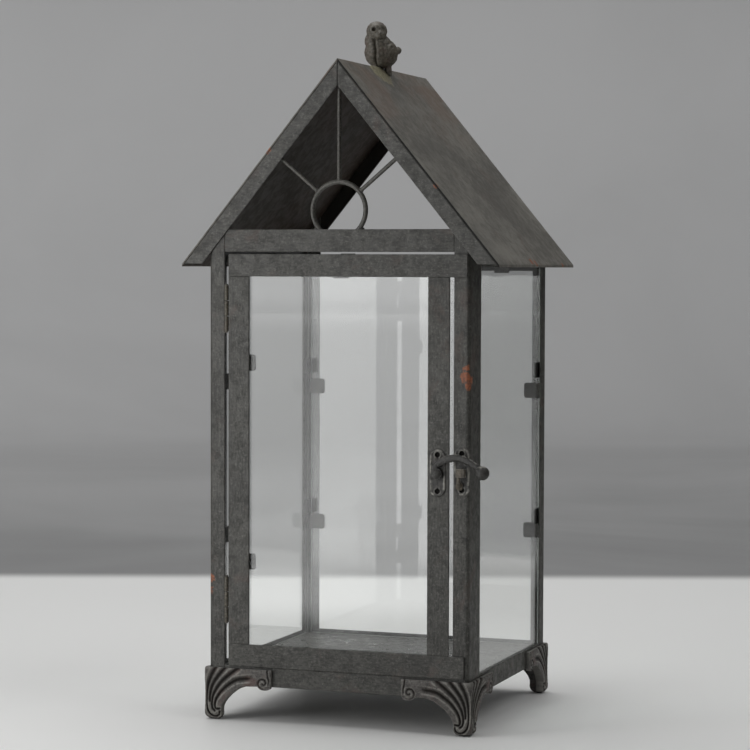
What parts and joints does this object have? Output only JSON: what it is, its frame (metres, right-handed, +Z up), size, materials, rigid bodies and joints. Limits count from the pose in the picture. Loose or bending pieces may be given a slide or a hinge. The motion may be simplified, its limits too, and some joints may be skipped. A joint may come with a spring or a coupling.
{
  "type": "glass lantern",
  "caption": "House-shaped metal and glass lantern with gabled roof, hinged front door, arched hook latch, bird finial and scroll feet.",
  "frame": {"origin": "on the surface the feet stand on, at the middle of the whole object's plan box", "axes": "+Z up, front door faces -Y, +X to the right seen from the front"},
  "size_m": [0.2248, 0.1947, 0.4778],
  "materials": {
    "strip": "matt charcoal paint, rubbed",
    "roof": "matt charcoal paint, rubbed",
    "tray": "satin charcoal paint",
    "wire": "matt charcoal paint",
    "hardware": "dark paint, worn at the edges",
    "cast_iron": "rough cast, dark paint with rust in the hollows",
    "glass": "clear float glass"
  },
  "bodies": {
    "case": {"front_left_post": "strip", "front_left_foot": "cast_iron", "front_right_post": "strip", "front_right_foot": "cast_iron", "back_left_post": "strip", "back_left_foot": "cast_iron", "back_right_post": "strip", "back_right_foot": "cast_iron", "front_lintel": "strip", "back_top_rail": "strip", "left_top_rail": "strip", "right_top_rail": "strip", "front_base_rail": "strip", "back_base_rail": "strip", "left_base_rail": "strip", "right_base_rail": "strip", "tray_floor": "tray", "left_roof_panel": "roof", "right_roof_panel": "roof", "front_left_rake": "strip", "front_right_rake": "strip", "back_left_rake": "strip", "back_right_rake": "strip", "gable_ring": "wire", "gable_spokes": "wire", "bird_finial": "cast_iron", "left_glass": "glass", "right_glass": "glass", "back_glass": "glass", "left_glass_tabs": "strip", "right_glass_tabs": "strip", "back_glass_tabs": "strip", "upper_hinge_post_leaf": "hardware", "lower_hinge_post_leaf": "hardware", "upper_hinge_pin": "hardware", "lower_hinge_pin": "hardware", "catch_plate": "hardware", "catch_stud": "hardware"},
    "door": {"door_top_rail": "strip", "door_bottom_rail": "strip", "door_left_stile": "strip", "door_right_stile": "strip", "door_glass": "glass", "door_glass_tabs": "strip", "upper_hinge_door_leaf": "hardware", "lower_hinge_door_leaf": "hardware", "latch_plate": "hardware", "latch_pivot": "hardware"},
    "latch_hook": {"hook_arm": "hardware"}
  },
  "joints": [
    {"name": "door_hinge", "type": "hinge", "parent": "case", "child": "door", "pos_m": [-0.07955, -0.0879, 0.18], "axis": [0, 0, -1], "range_deg": [0, 160]},
    {"name": "hook_pivot", "type": "hinge", "parent": "door", "child": "latch_hook", "pos_m": [0.0712, -0.0914, 0.1725], "axis": [0, -1, 0], "range_deg": [0, 110]}
  ]
}
